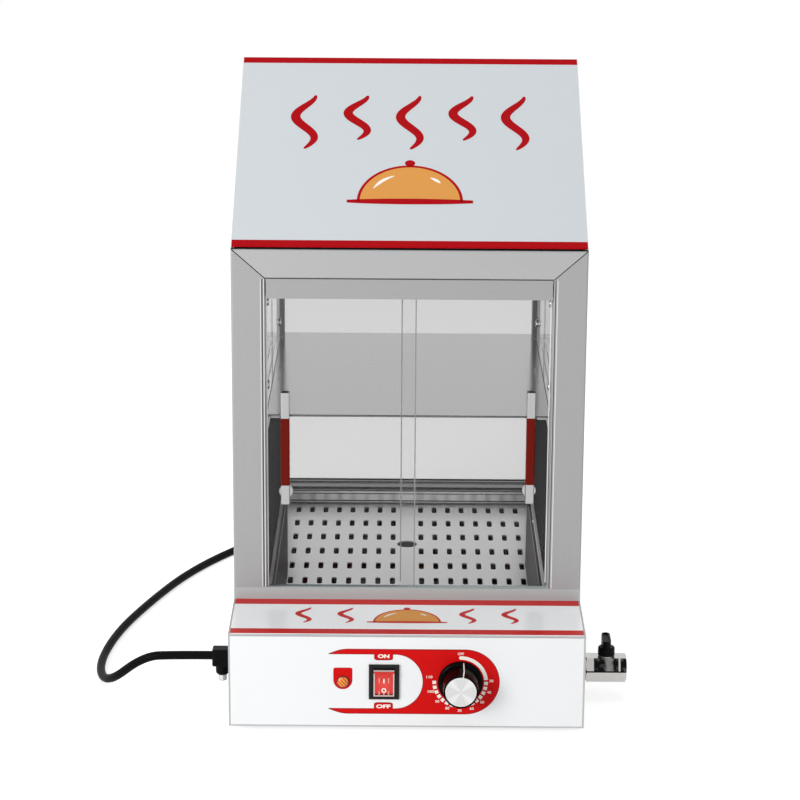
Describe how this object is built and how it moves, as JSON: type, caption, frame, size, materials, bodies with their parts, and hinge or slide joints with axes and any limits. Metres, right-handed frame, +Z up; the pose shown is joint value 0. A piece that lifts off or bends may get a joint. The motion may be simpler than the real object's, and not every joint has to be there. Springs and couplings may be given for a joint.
{
  "type": "hot dog steamer",
  "caption": "Counter-top hot dog steamer: base with water tank and controls, glazed chamber with shelf and perforated plate, sliding glass doors, sloping sign roof.",
  "frame": {"origin": "centre of the base's footprint, on the surface that the four feet stand on", "axes": "+Z up, the front with the controls faces -Y, +X to the right as seen from the front"},
  "size_m": [0.4692, 0.5802, 0.5275],
  "materials": {
    "white_print": "white printed film with a red control field",
    "sign_print": null,
    "ledge_print": "printed film with two red stripes",
    "satin_steel": "satin brushed stainless steel",
    "polished_steel": "bright, almost mirror-like stainless sheet",
    "dark_steel": "bright stainless liner seen in the dark lower compartment",
    "zinc_sheet": "zinc-coated sheet",
    "glass_clear": "clear float glass with ground edges",
    "screw_steel": "bright dome heads",
    "pull_metal": "bright bar ends",
    "grip_red": "deep red gloss sleeve",
    "black_gloss": "black gloss moulding with a white pointer",
    "black_matt": "black moulding",
    "rocker_red": "translucent red moulding",
    "lamp_amber": "translucent amber lens",
    "spun_aluminium": "spun face",
    "valve_chrome": "nickel-plated brass",
    "pipe_steel": "drawn stainless tube",
    "foot_rubber": "black rubber",
    "cord_black": "black PVC sheath"
  },
  "bodies": {
    "cabinet": {"base_deck": "satin_steel", "base_front": "satin_steel", "base_plate": "zinc_sheet", "base_rear": "satin_steel", "base_side_left": "satin_steel", "base_side_right": "satin_steel", "ceiling_plate": "satin_steel", "cord_coil": "cord_black", "cord_gland": "black_matt", "door_track_top": "satin_steel", "drain_pipe": "pipe_steel", "drain_valve": "valve_chrome", "feet": "foot_rubber", "front_overlay": "white_print", "front_post_left": "satin_steel", "front_post_right": "satin_steel", "front_sill": "satin_steel", "front_top_bar": "satin_steel", "heating_element": "pipe_steel", "indicator_lamp": "lamp_amber", "ledge_overlay": "ledge_print", "liner_left": "dark_steel", "liner_right": "dark_steel", "plate_guides": "satin_steel", "plug": "cord_black", "power_cord": "cord_black", "rear_post_left": "satin_steel", "rear_post_right": "satin_steel", "rear_sill": "satin_steel", "rear_top_rail": "satin_steel", "rear_window": "glass_clear", "roof": "satin_steel", "roof_sign": "sign_print", "shelf": "polished_steel", "shelf_bracket_left": "satin_steel", "shelf_bracket_right": "satin_steel", "side_panel_left": "satin_steel", "side_panel_right": "satin_steel", "side_rail_left": "satin_steel", "side_rail_right": "satin_steel", "side_sill_left": "satin_steel", "side_sill_right": "satin_steel", "side_window_left": "glass_clear", "side_window_right": "glass_clear", "switch_housing": "black_matt", "thermostat": "zinc_sheet", "water_tank": "satin_steel", "window_screws": "screw_steel"},
    "door_left": {"door_glass_left": "glass_clear", "handle_left": "pull_metal", "grip_left": "grip_red"},
    "door_right": {"door_glass_right": "glass_clear", "handle_right": "pull_metal", "grip_right": "grip_red"},
    "rocker": {"rocker": "rocker_red"},
    "knob": {"knob": "black_gloss", "knob_cap": "spun_aluminium"},
    "tap": {"valve_ball": "valve_chrome", "valve_handle": "black_matt"},
    "plate": {"perforated_plate": "satin_steel"}
  },
  "joints": [
    {"name": "door_left_slide", "type": "slide", "parent": "cabinet", "child": "door_left", "axis": [1, 0, 0], "range_m": [0, 0.114]},
    {"name": "door_right_slide", "type": "slide", "parent": "cabinet", "child": "door_right", "axis": [-1, 0, 0], "range_m": [0, 0.114]},
    {"name": "rocker_pivot", "type": "hinge", "parent": "cabinet", "child": "rocker", "pos_m": [-0.0191, -0.1999, 0.0462], "axis": [-1, 0, 0], "range_deg": [0, 18]},
    {"name": "knob_turn", "type": "hinge", "parent": "cabinet", "child": "knob", "pos_m": [0.0452, -0.2005, 0.0462], "axis": [0, 1, 0], "range_deg": [-8, 267]},
    {"name": "tap_turn", "type": "hinge", "parent": "cabinet", "child": "tap", "pos_m": [0.174, -0.116, 0.027], "axis": [0, 0, 1], "range_deg": [0, 90]},
    {"name": "plate_lift", "type": "slide", "parent": "cabinet", "child": "plate", "axis": [0, 0, 1], "range_m": [0, 0.14]}
  ]
}
